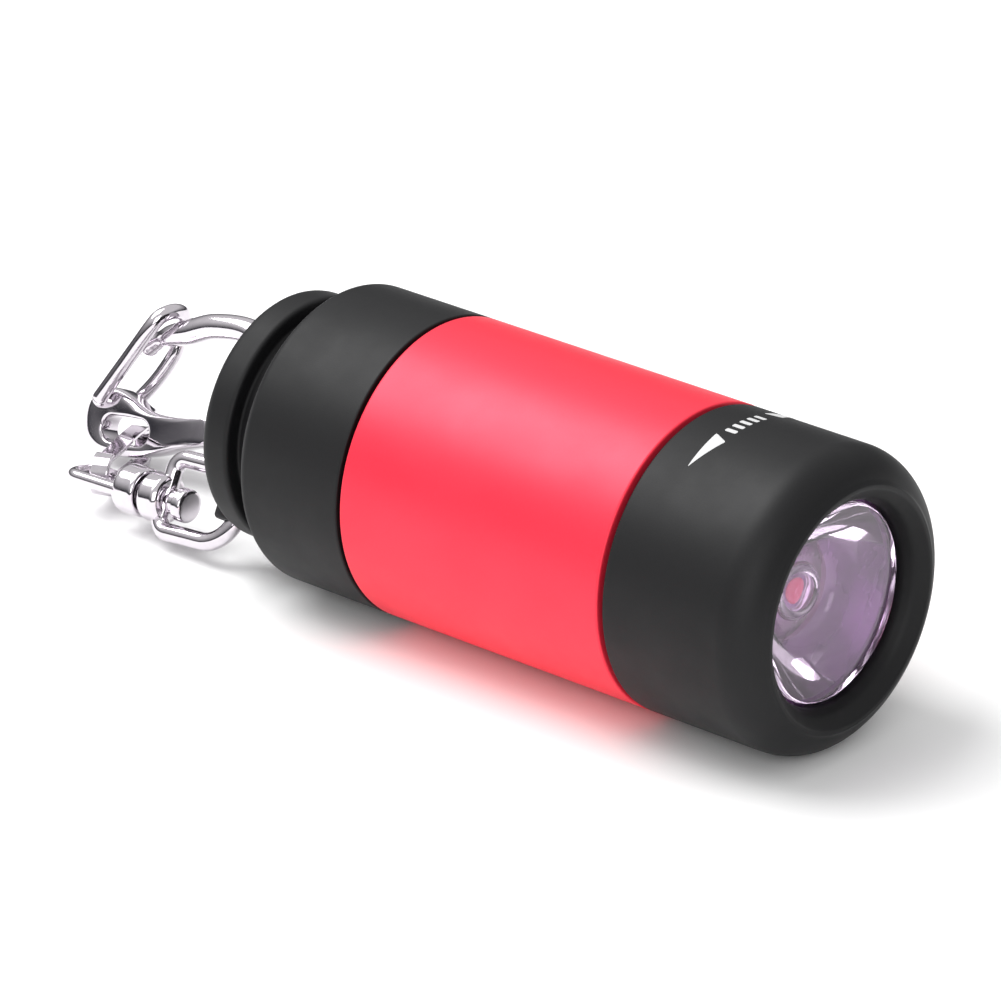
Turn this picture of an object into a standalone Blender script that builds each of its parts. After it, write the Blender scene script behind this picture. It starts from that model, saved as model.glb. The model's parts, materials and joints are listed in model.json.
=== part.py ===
"""Keychain flashlight: a short barrel torch with a twist head, a pull-off tail cap over a USB plug, and a
swivelling snap hook on the tail.

Metres, +Z up. The torch lies on its side along X with its lens at +X. Sizes below are millimetres. X and Z
positions of torch parts are measured from the datum, the point on the barrel's axis where the tail cap meets
the coloured sleeve.
"""

import math

import bpy
import bmesh
from mathutils import Matrix, Vector

MM = 0.001

# Driving sizes of the torch
BODY_R = 10.5
SLEEVE_LENGTH = 22.6
HEAD_END = 35.0
NOSE_ROUND = 2.9
LAND_R = 8.2
CAP_LENGTH = 9.3
TAIL_DISC_R = 8.75
TAIL_FRONT = -11.7
TAIL_BACK = -14.2
BARREL_R = 8.9
BARREL_WALL = 1.0
CELL_R = 7.6
CELL_THICK = 5.8
LENS_R = 6.75
GAP = 0.3
TWIST_FEED = 0.25

# Driving sizes of the snap hook and its chain
LUG_HOLE_AT = Vector((-15.15, -3.9, -6.41))
LUG_ROLL = math.atan2(3.9, 6.45)
CHAIN_PITCH = math.radians(5.0)
BAIL_WIRE_R = 0.65
BAIL_HALF_WIDTH = 2.6
BAIL_REACH = 6.8
HUB_MIDDLE = Vector((-7.3, 0.0, -0.4))
SWIVEL_PITCH = math.radians(2.5)
SWIVEL_ROLL = math.radians(-12.0)
LOOP_WIRE_R = 0.5
LOOP_HALF_WIDTH = 1.25
LINK_STRIP = 0.55
LINK_WIDTH = 1.3
LINK_GAP = 2.0
HOOK_AT = Vector((-31.25, 1.82, -9.33))
HOOK_LEAN = math.radians(20.6)
HOOK_THICK = 2.0
RIM_MIDDLE = Vector((-0.6, 1.0, 0.935))
GATE_PIVOT = Vector((-3.6, 1.0, 3.7))
GATE_WIRE_R = 0.55

# The barrel rests on one of its flat sides, and the datum stands over the middle of the whole object's box.
SIDES = 40
FLAT_DOWN = math.pi / SIDES
REST_HEIGHT = BODY_R * math.cos(FLAT_DOWN)
HOOK_LEFT = 5.3
DATUM = Vector((-(HEAD_END + HOOK_AT.x - HOOK_LEFT) / 2, 0.0, REST_HEIGHT))


# ---------------------------------------------------------------- scene, materials and shared makers

for old in list(bpy.data.objects):
    bpy.data.objects.remove(old, do_unlink=True)

PARTS = bpy.data.collections.new("keychain_flashlight")
CUTTERS = bpy.data.collections.new("cutters")
bpy.context.scene.collection.children.link(PARTS)
bpy.context.scene.collection.children.link(CUTTERS)


def material(name, color, roughness, metallic=0.0, transmission=0.0):
    made = bpy.data.materials.new(name)
    made.use_nodes = True
    shader = made.node_tree.nodes["Principled BSDF"]
    shader.inputs["Base Color"].default_value = (*color, 1.0)
    shader.inputs["Roughness"].default_value = roughness
    shader.inputs["Metallic"].default_value = metallic
    shader.inputs["Transmission Weight"].default_value = transmission
    return made


RED_SATIN = material("red_satin", (0.83, 0.05, 0.11), 0.35)
SOFT_BLACK = material("soft_black", (0.012, 0.012, 0.013), 0.6)
HARD_BLACK = material("hard_black", (0.02, 0.02, 0.022), 0.4)
NICKEL = material("nickel", (0.78, 0.74, 0.78), 0.12, 1.0)
STEEL = material("bright_steel", (0.7, 0.7, 0.7), 0.25, 1.0)
GOLD = material("gold_plate", (0.9, 0.65, 0.25), 0.25, 1.0)
CLEAR = material("clear_optic", (0.95, 0.93, 0.97), 0.05, 0.0, 0.9)
SEAL_RUBBER = material("seal_rubber", (0.03, 0.03, 0.03), 0.7)
BOARD_GREEN = material("board_green", (0.03, 0.2, 0.08), 0.45)
WHITE_PLASTIC = material("white_plastic", (0.85, 0.85, 0.82), 0.4)
PHOSPHOR = material("phosphor", (0.95, 0.8, 0.25), 0.3)
INDICATOR = material("indicator", (0.8, 0.05, 0.05), 0.2)


def empty(name, at, parent=None, turn=(0.0, 0.0, 0.0)):
    """A frame at a point given in its parent's millimetres."""
    made = bpy.data.objects.new(name, None)
    PARTS.objects.link(made)
    made.empty_display_size = 2 * MM
    made.parent = parent
    made.location = Vector(at) * MM
    made.rotation_euler = turn
    return made


def place(mesh, name, finish, parent, at=(0.0, 0.0, 0.0), turn=(0.0, 0.0, 0.0)):
    made = bpy.data.objects.new(name, mesh)
    PARTS.objects.link(made)
    made.parent = parent
    made.location = Vector(at) * MM
    made.rotation_euler = turn
    mesh.materials.clear()
    mesh.materials.append(finish)
    return made


def arc(center, radius, start, end, steps):
    """Points on a circle round center, from one angle to another in degrees."""
    angles = [math.radians(start + (end - start) * i / steps) for i in range(steps + 1)]
    return [(center[0] + radius * math.cos(a), center[1] + radius * math.sin(a)) for a in angles]


def turned(name, profile, finish, parent, at=(0.0, 0.0, 0.0), sides=SIDES, ring=False):
    """A solid turned about X from (x, radius) points that run towards -X on its outer side."""
    mesh = bpy.data.meshes.new(name)
    points = [(x * MM, r * MM, 0.0) for x, r in profile]
    edges = [(i, i + 1) for i in range(len(points) - 1)]
    if ring:
        edges.append((len(points) - 1, 0))
    mesh.from_pydata(points, edges, [])
    made = place(mesh, name, finish, parent, at, (math.pi / sides, 0.0, 0.0))
    screw = made.modifiers.new("turn", "SCREW")
    screw.axis = "X"
    screw.steps = sides
    screw.render_steps = sides
    screw.use_merge_vertices = True
    screw.merge_threshold = 0.00001
    screw.use_smooth_shade = True
    return made


def block(name, size, finish, parent, at):
    """A box with its centre at a point."""
    mesh = bpy.data.meshes.new(name)
    shape = bmesh.new()
    bmesh.ops.create_cube(shape, size=1.0)
    bmesh.ops.scale(shape, vec=Vector(size) * MM, verts=shape.verts)
    shape.to_mesh(mesh)
    shape.free()
    return place(mesh, name, finish, parent, at)


def rod(name, radius, start, end, finish, parent, sides=24):
    """A cylinder between two points."""
    start, end = Vector(start), Vector(end)
    mesh = bpy.data.meshes.new(name)
    shape = bmesh.new()
    bmesh.ops.create_cone(
        shape,
        cap_ends=True,
        segments=sides,
        radius1=radius * MM,
        radius2=radius * MM,
        depth=(end - start).length * MM,
    )
    shape.to_mesh(mesh)
    shape.free()
    turn = (end - start).to_track_quat("Z", "Y").to_euler()
    return place(mesh, name, finish, parent, (start + end) / 2, turn)


def flat_outline(name, outline, thickness, finish, parent, holes=(), at=(0.0, 0.0, 0.0), upright=True, smooth=False):
    """A plate of even thickness from an outline and holes: in local XZ when upright, else in local XY."""
    curve = bpy.data.curves.new(name, "CURVE")
    curve.dimensions = "2D"
    curve.fill_mode = "BOTH"
    curve.extrude = thickness / 2 * MM
    curve.resolution_u = 2
    for loop in (outline, *holes):
        add_spline(curve, [(x, z, 0.0) for x, z in loop], smooth, cyclic=True)
    turn = (math.pi / 2 if upright else 0.0, 0.0, 0.0)
    return as_mesh(curve, name, finish, parent, at, turn)


def wire(name, points, radius, finish, parent, smooth=False, cyclic=False, resolution=2, taper=None):
    """A round wire through points, with its radius scaled at each point by taper."""
    curve = bpy.data.curves.new(name, "CURVE")
    curve.dimensions = "3D"
    curve.bevel_depth = radius * MM
    curve.bevel_resolution = resolution
    curve.resolution_u = 2
    curve.use_fill_caps = not cyclic
    spline = add_spline(curve, points, smooth, cyclic)
    for point, scale in zip(spline.bezier_points if smooth else spline.points, taper or ()):
        point.radius = scale
    return as_mesh(curve, name, finish, parent, (0.0, 0.0, 0.0), (0.0, 0.0, 0.0))


def add_spline(curve, points, smooth, cyclic):
    spline = curve.splines.new("BEZIER" if smooth else "POLY")
    if smooth:
        spline.bezier_points.add(len(points) - 1)
        for point, co in zip(spline.bezier_points, points):
            point.co = Vector(co) * MM
            point.handle_left_type = point.handle_right_type = "AUTO"
    else:
        spline.points.add(len(points) - 1)
        for point, co in zip(spline.points, points):
            point.co = (*(Vector(co) * MM), 1.0)
    spline.use_cyclic_u = cyclic
    return spline


def as_mesh(curve, name, finish, parent, at, turn):
    """The curve's surface as a mesh object with its caps welded on."""
    helper = bpy.data.objects.new(name + "_curve", curve)
    CUTTERS.objects.link(helper)
    bpy.context.view_layer.update()
    graph = bpy.context.evaluated_depsgraph_get()
    mesh = bpy.data.meshes.new_from_object(helper.evaluated_get(graph))
    mesh.name = name
    bpy.data.objects.remove(helper, do_unlink=True)
    shape = bmesh.new()
    shape.from_mesh(mesh)
    bmesh.ops.remove_doubles(shape, verts=shape.verts, dist=0.000001)
    bmesh.ops.recalc_face_normals(shape, faces=shape.faces)
    shape.to_mesh(mesh)
    shape.free()
    return place(mesh, name, finish, parent, at, turn)


def boolean(target, tool, operation="DIFFERENCE"):
    """Cuts or joins a finished shape, which moves to the cutters and out of the render."""
    PARTS.objects.unlink(tool)
    CUTTERS.objects.link(tool)
    tool.hide_render = True
    tool.display_type = "WIRE"
    step = target.modifiers.new(operation.lower(), "BOOLEAN")
    step.operation = operation
    step.solver = "EXACT"
    step.object = tool


def stadium(start, end, radius, steps=10):
    """Outline of a long hole or link with round ends between two points on the X axis."""
    return arc((end, 0.0), radius, -90.0, 90.0, steps) + arc((start, 0.0), radius, 90.0, 270.0, steps)


# ---------------------------------------------------------------- torch body: coloured sleeve and inner barrel

torch = empty("torch", DATUM)
FEED_ROOM = 0.15


def body_sleeve():
    front, rear, bore, edge = SLEEVE_LENGTH - FEED_ROOM, FEED_ROOM, BARREL_R + GAP, 0.2
    profile = [
        (front, bore),
        (front, BODY_R - edge),
        (front - edge, BODY_R),
        (rear + edge, BODY_R),
        (rear, BODY_R - edge),
        (rear, bore),
    ]
    turned("body_sleeve", profile, RED_SATIN, torch, ring=True)


NECK_BACK, BARREL_FLOOR, SPIGOT_FRONT = -2.0, 0.0, 28.3
REAR_SEAL_X, FRONT_SEAL_X = -1.1, 26.6
SEAL_WIDTH, SEAL_DEPTH, SEAL_WIRE = 1.1, 0.55, 0.32
USB_WIDTH, USB_HEIGHT, USB_WALL = 12.0, 4.5, 0.3
USB_FRONT, USB_BACK = 1.6, -13.3


def seal_groove(middle):
    """Profile points of one O-ring groove, towards -X."""
    half, floor = SEAL_WIDTH / 2, BARREL_R - SEAL_DEPTH
    return [(middle + half, BARREL_R), (middle + half, floor), (middle - half, floor), (middle - half, BARREL_R)]


def inner_barrel():
    bore = BARREL_R - BARREL_WALL
    profile = [(BARREL_FLOOR, 0.0), (BARREL_FLOOR, bore), (SPIGOT_FRONT, bore), (SPIGOT_FRONT, BARREL_R)]
    profile += seal_groove(FRONT_SEAL_X) + seal_groove(REAR_SEAL_X)
    profile += [(NECK_BACK, BARREL_R), (NECK_BACK, 0.0)]
    barrel = turned("inner_barrel", profile, HARD_BLACK, torch)
    slot_size = (6.0, USB_WIDTH + 2 * GAP, USB_HEIGHT + 2 * GAP)
    boolean(barrel, block("usb_slot", slot_size, HARD_BLACK, torch, (-1.0, 0.0, 0.0)))


def o_ring(name, x, center_r, wire_r, parent):
    """A seal ring of round section, turned about X."""
    profile = arc((x, center_r), wire_r, 0.0, 300.0, 5)
    turned(name, profile, SEAL_RUBBER, parent, sides=32, ring=True)


body_sleeve()
inner_barrel()
SEAL_MIDDLE_R = BARREL_R - SEAL_DEPTH + SEAL_WIRE + 0.05
o_ring("rear_seal", REAR_SEAL_X, SEAL_MIDDLE_R, SEAL_WIRE, torch)
o_ring("front_seal", FRONT_SEAL_X, SEAL_MIDDLE_R, SEAL_WIRE, torch)

# ---------------------------------------------------------------- USB plug on the charging board


def usb_plug():
    middle, length = (USB_FRONT + USB_BACK) / 2, USB_FRONT - USB_BACK
    shell = block("usb_shell", (length, USB_WIDTH, USB_HEIGHT), STEEL, torch, (middle, 0.0, 0.0))
    inside = (length + 2.0, USB_WIDTH - 2 * USB_WALL, USB_HEIGHT - 2 * USB_WALL)
    boolean(shell, block("usb_inside", inside, STEEL, torch, (middle, 0.0, 0.0)))
    window = (2.2, 2.2, 2.0)
    for side in (-1, 1):
        at = (USB_BACK + 4.5, side * 3.2, USB_HEIGHT / 2)
        boolean(shell, block(f"usb_window_{side + 2}", window, STEEL, torch, at))
    tongue_top, tongue_thick = -0.1, 1.7
    tongue = (length - 0.9, USB_WIDTH - 2 * USB_WALL - 0.3, tongue_thick)
    block("usb_tongue", tongue, WHITE_PLASTIC, torch, (middle + 0.35, 0.0, tongue_top - tongue_thick / 2))
    contact = (7.4, 1.0, 0.2)
    for number, y in enumerate((-3.5, -1.0, 1.0, 3.5), 1):
        at = (USB_BACK + 5.4, y, tongue_top + 0.1 + contact[2] / 2)
        block(f"usb_contact_{number}", contact, GOLD, torch, at)


BOARD_BACK, BOARD_THICK = 1.9, 1.0


def charge_board():
    rod("charge_board", CELL_R, (BOARD_BACK, 0, 0), (BOARD_BACK + BOARD_THICK, 0, 0), BOARD_GREEN, torch, 24)
    block("charge_chip", (0.9, 3.8, 2.6), HARD_BLACK, torch, (BOARD_BACK + BOARD_THICK + 0.6, 0.0, 4.9))
    block("charge_led", (0.7, 1.6, 0.8), INDICATOR, torch, (BOARD_BACK - 0.5, 0.0, 4.9))


usb_plug()
charge_board()

# ---------------------------------------------------------------- three rechargeable button cells and their contacts

FIRST_CELL_X, CELL_PITCH = 4.6, 5.9


def button_cell(number):
    """A flat can with a crimped edge and a raised cap towards the lens."""
    back = FIRST_CELL_X + (number - 1) * CELL_PITCH
    front, cap = back + CELL_THICK, 0.5
    profile = [
        (front, 0.0),
        (front, CELL_R - 1.6),
        (front - cap, CELL_R - 1.4),
        (front - cap, CELL_R - 0.3),
        (front - cap - 0.3, CELL_R),
        (back + 0.3, CELL_R),
        (back, CELL_R - 0.3),
        (back, 0.0),
    ]
    turned(f"button_cell_{number}", profile, STEEL, torch, sides=24)


def cell_spring():
    """A flat conical spring between the board and the first cell."""
    turns, steps, wire_r = 2.5, 12, 0.2
    start, travel = BOARD_BACK + BOARD_THICK + 0.35, 1.0
    points = []
    for i in range(int(turns * steps) + 1):
        along = i / (turns * steps)
        angle, radius = 2 * math.pi * turns * along, 2.9 - 1.5 * along
        points.append((start + travel * along, radius * math.cos(angle), radius * math.sin(angle)))
    wire("cell_spring", points, wire_r, GOLD, torch, resolution=1)


CONTACT_X = FIRST_CELL_X + 3 * CELL_PITCH + 0.2


def front_contact():
    """An insulating disc whose centre post carries the last cell's pole to the lamp board."""
    rod("contact_disc", CELL_R, (CONTACT_X, 0, 0), (CONTACT_X + 0.8, 0, 0), WHITE_PLASTIC, torch, 24)
    rod("contact_post", 1.2, (CONTACT_X + 0.9, 0, 0), (LAMP_BOARD_X - 0.45, 0, 0), GOLD, torch, 16)


LAMP_BOARD_X = 24.9
for cell in (1, 2, 3):
    button_cell(cell)
cell_spring()
front_contact()

# ---------------------------------------------------------------- lamp module, which the head pushes in by a thread's feed

lamp = empty("lamp_module", (0.0, 0.0, 0.0), torch)
LENS_FACE, LIP_FACE, LIP_BACK = 33.35, 33.6, 33.0


def lamp_module():
    front = LAMP_BOARD_X + 0.8
    rod("led_board", CELL_R - 0.1, (LAMP_BOARD_X, 0, 0), (front, 0, 0), WHITE_PLASTIC, lamp, 24)
    emitter = [(front + 1.6, 0.0)] + arc((front + 0.5, 0.0), 1.1, 60.0, 90.0, 3)
    emitter += [(front + 0.5, 1.7), (front + 0.1, 1.7), (front + 0.1, 0.0)]
    turned("led_package", emitter, PHOSPHOR, lamp, sides=20)
    base, rim_front, outer, wall = front + 0.3, 31.0, 7.7, 0.45
    holder = [
        (rim_front, outer - wall),
        (rim_front, outer),
        (base, outer),
        (base, 3.3),
        (base + 0.5, 3.3),
        (base + 0.5, outer - wall),
    ]
    turned("optic_holder", holder, WHITE_PLASTIC, lamp, sides=28, ring=True)


def lens_optic():
    """A clear optic: flat face, a flange that the head's lip holds, a curved cone and a cavity for the lamp."""
    flange_front, flange_back, cone_back = 32.2, 31.3, 26.75
    cavity = [(cone_back, 2.0), (28.2, 1.85), (28.7, 1.3), (28.9, 0.0)]
    face = [(LENS_FACE, 0.0), (LENS_FACE, LENS_R - 0.15), (LENS_FACE - 0.15, LENS_R), (flange_front, LENS_R)]
    cone = [(flange_front, 8.2), (flange_back, 8.2), (flange_back, 6.9)]
    cone += [(flange_back - 4.0 * (1 - t), 3.2 + 3.6 * t ** 0.6) for t in (0.8, 0.55, 0.3, 0.1)]
    cone += [(cone_back, 2.9)]
    turned("lens_optic", face + cone + cavity, CLEAR, lamp, sides=32)


lamp_module()
lens_optic()

# ---------------------------------------------------------------- twist head

head = empty("head", (0.0, 0.0, 0.0), lamp)
HEAD_BACK = SLEEVE_LENGTH + TWIST_FEED
NOSE_TIP_R = BODY_R - NOSE_ROUND


def head_shell():
    """A rubbery shell with a round nose, a narrow flat land at its tip and a wide dish down to the lens."""
    thread_bore, lens_bore, lip_r = BARREL_R + 0.25, 8.5, LENS_R + 0.2
    land = 0.15
    profile = [(LIP_BACK, lens_bore), (LIP_BACK, lip_r), (LIP_FACE, lip_r), (LIP_FACE + 0.7, lip_r + 0.3)]
    profile += [(HEAD_END, LAND_R - land), (HEAD_END, LAND_R + land)]
    profile += arc((HEAD_END - NOSE_ROUND, NOSE_TIP_R), NOSE_ROUND, 20.0, 90.0, 5)
    profile += [(HEAD_BACK + 0.2, BODY_R), (HEAD_BACK, BODY_R - 0.2), (HEAD_BACK, thread_bore)]
    profile += [(SPIGOT_FRONT + 0.7, thread_bore), (SPIGOT_FRONT + 0.7, lens_bore)]
    turned("head_shell", profile, SOFT_BLACK, head, ring=True)


head_shell()
o_ring("lens_seal", LIP_BACK - 0.4, LENS_R + 0.7, 0.3, head)

# ---------------------------------------------------------------- pull-off tail cap

cap = empty("tail_cap", (0.0, 0.0, 0.0), torch)
PLUG_TUBE_R, PLUG_BORE_R = 7.6, 6.75


def cap_sleeve():
    mouth, counterbore_end, bevel = -0.15, -2.3, 0.6
    bore, counterbore = PLUG_TUBE_R + GAP, BARREL_R + GAP
    profile = [
        (counterbore_end, counterbore),
        (mouth, counterbore),
        (mouth, BODY_R - 0.2),
        (mouth - 0.2, BODY_R),
        (-CAP_LENGTH + bevel, BODY_R),
        (-CAP_LENGTH + 0.15, BODY_R - 0.35),
        (-CAP_LENGTH, BODY_R - 0.7),
        (-CAP_LENGTH, bore),
        (counterbore_end, bore),
    ]
    turned("cap_sleeve", profile, SOFT_BLACK, cap, ring=True)


lug = empty("bail_lug", LUG_HOLE_AT, cap, (-LUG_ROLL, -CHAIN_PITCH, 0.0))
LUG_HOLE_R, LUG_HALF_WIDTH, LUG_THICK = 0.9, 1.6, 1.7


def tail_plug():
    """A cup over the plug whose neck shows in the groove, ending in a round-edged disc with a lug."""
    nose = (TAIL_FRONT - TAIL_BACK) / 2
    floor = TAIL_BACK + 0.7
    center = ((TAIL_FRONT + TAIL_BACK) / 2, TAIL_DISC_R - nose)
    profile = [(floor, 0.0), (floor, PLUG_BORE_R), (-2.5, PLUG_BORE_R), (-2.5, PLUG_TUBE_R), (TAIL_FRONT, PLUG_TUBE_R)]
    profile += arc(center, nose, 30.0, 180.0, 6)
    profile += [(TAIL_BACK, 0.0)]
    plug = turned("tail_plug", profile, SOFT_BLACK, cap)
    tab = arc((0.0, 0.0), LUG_HALF_WIDTH, 90.0, 270.0, 8)
    root = LUG_HOLE_AT.x - TAIL_BACK - 0.3
    tab += [(-root, -LUG_HALF_WIDTH), (-root, LUG_HALF_WIDTH)]
    boolean(plug, flat_outline("lug_tab", tab, LUG_THICK, SOFT_BLACK, lug, upright=False), "UNION")
    boolean(plug, rod("lug_hole", LUG_HOLE_R, (0, 0, -2), (0, 0, 2), SOFT_BLACK, lug, 20))
    limit = rod("disc_limit", TAIL_DISC_R, (-20, 0, 0), (0, 0, 0), SOFT_BLACK, cap, SIDES)
    boolean(plug, limit, "INTERSECT")


cap_sleeve()
tail_plug()

# ---------------------------------------------------------------- bail through the lug, and its swivel

bail_frame = empty("bail_frame", (0.0, 0.0, 0.0), lug)
hub_frame = empty("hub_frame", HUB_MIDDLE, bail_frame)
swivel = empty("swivel", (0.0, 0.0, 0.0), hub_frame, (LUG_ROLL + SWIVEL_ROLL, SWIVEL_PITCH, 0.0))
HUB_HALF, HUB_R, STUD_HOLE_R = 0.95, 1.75, 0.8


def bail():
    """A cast D-ring of round section with a hub for the stud; its round end passes through the lug."""
    half, corner = BAIL_HALF_WIDTH, 1.0
    path = arc((-half, 0.0), half, -90.0, 90.0, 12)
    path += arc((corner - BAIL_REACH, half - corner), corner, 90.0, 180.0, 3)
    path += arc((corner - BAIL_REACH, corner - half), corner, 180.0, 270.0, 3)
    points = [(x, 0.0, z) for x, z in path]
    ring = wire("bail", points, BAIL_WIRE_R, NICKEL, bail_frame, cyclic=True)
    soft = 0.4
    hub = [
        (HUB_HALF, 0.0),
        (HUB_HALF, HUB_R - 1.5 * soft),
        (HUB_HALF - soft, HUB_R - soft / 3),
        (0.0, HUB_R),
        (soft - HUB_HALF, HUB_R - soft / 3),
        (-HUB_HALF, HUB_R - 1.5 * soft),
        (-HUB_HALF, 0.0),
    ]
    boolean(ring, turned("bail_hub", hub, NICKEL, hub_frame, sides=20), "UNION")
    boolean(ring, rod("stud_hole", STUD_HOLE_R, (-3, 0, 0), (3, 0, 0), NICKEL, hub_frame, 16))


BOSS_FRONT, BOSS_BACK = -HUB_HALF - 0.3, -HUB_HALF - 2.4
EYE_END, EYE_CORNER = -7.85, 0.9


def swivel_stud():
    """A peened stud that turns in the bail's base."""
    head, shoulder = HUB_HALF + 1.9, HUB_HALF + 0.3
    profile = [
        (head, 0.0),
        (head, 1.0),
        (head - 0.2, 1.2),
        (head - 0.8, 1.2),
        (head - 0.95, 0.9),
        (shoulder, 0.9),
        (shoulder, 0.6),
        (BOSS_FRONT - 1.2, 0.6),
        (BOSS_FRONT - 1.2, 0.0),
    ]
    turned("swivel_stud", profile, NICKEL, swivel, sides=20)


def swivel_loop():
    """A round boss with a long eye of wire."""
    edge = 0.3
    profile = [
        (BOSS_FRONT - 1.4, 0.0),
        (BOSS_FRONT - 1.4, 0.8),
        (BOSS_FRONT, 0.8),
        (BOSS_FRONT, 1.75 - edge),
        (BOSS_FRONT - edge, 1.75),
        (BOSS_BACK + edge, 1.75),
        (BOSS_BACK, 1.75 - edge),
        (BOSS_BACK, 0.0),
    ]
    boss = turned("swivel_loop", profile, NICKEL, swivel, sides=24)
    side, corner, root = LOOP_HALF_WIDTH, EYE_CORNER, BOSS_BACK + 0.4
    bend = arc((EYE_END + corner, side - corner), corner, 180.0, 90.0, 4)
    points = [(root, -side, 0.0)] + [(x, -y, 0.0) for x, y in bend[::-1]]
    points += [(x, y, 0.0) for x, y in bend] + [(root, side, 0.0)]
    boolean(boss, wire("loop_wire", points, LOOP_WIRE_R, NICKEL, swivel), "UNION")


bail()
swivel_stud()
swivel_loop()

# ---------------------------------------------------------------- long link from the swivel's eye to the hook

HOOK_TURN = Matrix.Rotation(-HOOK_LEAN, 3, "X")
LINK_ON_EYE = Vector((-6.8, LOOP_HALF_WIDTH, 0.0))
bpy.context.view_layer.update()
EYE_BAR = swivel.matrix_world @ (LINK_ON_EYE * MM) / MM - DATUM
RIM_BAR = HOOK_AT + HOOK_TURN @ RIM_MIDDLE


def link_turn():
    """Rotation that lays the link's length along local X, from the eye's far bar to the hook's rim."""
    along = (RIM_BAR - EYE_BAR).normalized()
    up = Vector((0.0, 0.0, 1.0))
    up = (up - along * up.dot(along)).normalized()
    across = up.cross(along)
    return Matrix((along, across, up)).transposed()


def framed(name, at, turn, parent):
    """A frame at a point and rotation given in the torch's frame, under a parent."""
    made = empty(name, (0.0, 0.0, 0.0), parent)
    bpy.context.view_layer.update()
    world = Matrix.Translation((DATUM + at) * MM) @ turn.to_4x4()
    made.matrix_parent_inverse = parent.matrix_world.inverted()
    made.matrix_basis = world
    return made


link_frame = framed("link_frame", EYE_BAR, link_turn(), swivel)


def link():
    """A flat strip bent into a long ring."""
    length = (RIM_BAR - EYE_BAR).length
    inner, outer = LINK_GAP / 2, LINK_GAP / 2 + LINK_STRIP
    start, end = 0.0, length + 0.7
    shape = stadium(start, end, outer, 8)
    flat_outline("link", shape, LINK_WIDTH, NICKEL, link_frame, holes=(stadium(start, end, inner, 8),))


link()

# ---------------------------------------------------------------- snap hook and its spring-wire gate

rim_frame = framed("rim_frame", RIM_BAR, HOOK_TURN, link_frame)
hook_frame = framed("hook_frame", HOOK_AT, HOOK_TURN, rim_frame)
SLOT_TILT = math.radians(8.0)


def hook():
    """A cast body with a long eye, whose band runs round into an arm that ends in a necked nose."""
    outline = [
        (-5.3, 2.3), (-4.9, 1.0), (-3.9, 0.3), (-2.5, 0.1), (-1.2, 0.2), (1.5, 1.0), (4.1, 2.15), (6.4, 3.1),
        (6.6, 4.0), (6.2, 4.9), (5.2, 4.7), (3.1, 4.25), (1.1, 4.0), (-0.3, 4.15), (-1.6, 4.6), (-3.0, 4.8),
        (-4.3, 4.4), (-5.1, 3.5),
    ]
    middle = HOOK_THICK / 2
    body = flat_outline("hook", outline, HOOK_THICK, NICKEL, hook_frame, at=(0.0, middle, 0.0), smooth=True)
    arm = [(5.4, 3.75), (8.3, 5.0), (10.1, 7.4), (9.9, 10.0), (7.6, 11.5), (4.2, 11.15), (1.8, 10.1), (0.3, 9.5)]
    arm += [(-0.55, 9.05), (-1.1, 8.65), (-1.6, 8.3), (-2.1, 7.95)]
    taper = [1.0] * 7 + [0.85, 0.65, 0.75, 0.9, 0.55]
    path = [(x, middle, z) for x, z in arm]
    boolean(body, wire("hook_arm", path, 0.93, NICKEL, hook_frame, smooth=True, resolution=3, taper=taper), "UNION")
    slot = [Vector(point) for point in stadium(-1.25, 1.25, 0.95, 8)]
    turn = Matrix.Rotation(SLOT_TILT, 2)
    slot = [tuple(turn @ point + Vector((-1.15, 2.15))) for point in slot]
    boolean(body, flat_outline("hook_slot", slot, 4.0, NICKEL, hook_frame, at=(0.0, middle, 0.0)))
    for number, (start, end) in enumerate(((-1.0, 0.75), (1.25, 3.0)), 1):
        x, z = GATE_PIVOT.x, GATE_PIVOT.z
        boolean(body, rod(f"gate_hole_{number}", 0.75, (x, start, z), (x, end, z), NICKEL, hook_frame, 16))


gate_frame = empty("gate_frame", GATE_PIVOT, hook_frame)


def gate():
    """A spring wire bent into a hairpin that straddles the nose, its ends in the body's two pivot holes."""
    front, back, near, far = -0.65, 2.65, 0.45, 1.55
    path = [
        (-3.6, near, 3.7), (-3.6, front + 0.35, 3.7), (-3.5, front + 0.05, 3.9), (-3.3, front, 4.25),
        (-1.7, front, 7.3), (-0.5, front, 9.6), (-0.05, front + 0.25, 10.6), (0.2, front + 0.9, 11.1),
        (0.25, 1.0, 11.25), (0.15, back - 0.9, 11.1), (-0.1, back - 0.25, 10.6), (-0.35, back, 9.7),
        (-0.4, back, 8.5), (-0.6, back, 7.7), (-1.5, back, 5.9), (-2.7, back, 4.2), (-3.3, back, 3.85),
        (-3.6, back - 0.35, 3.7), (-3.6, far, 3.7),
    ]
    points = [Vector(point) - GATE_PIVOT for point in path]
    wire("gate_wire", points, GATE_WIRE_R, NICKEL, gate_frame)


hook()
gate()

for part in PARTS.objects:
    if part.type == "MESH":
        part.data.shade_smooth()
        part.data.set_sharp_from_angle(angle=math.radians(35.0))
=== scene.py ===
import json

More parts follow.
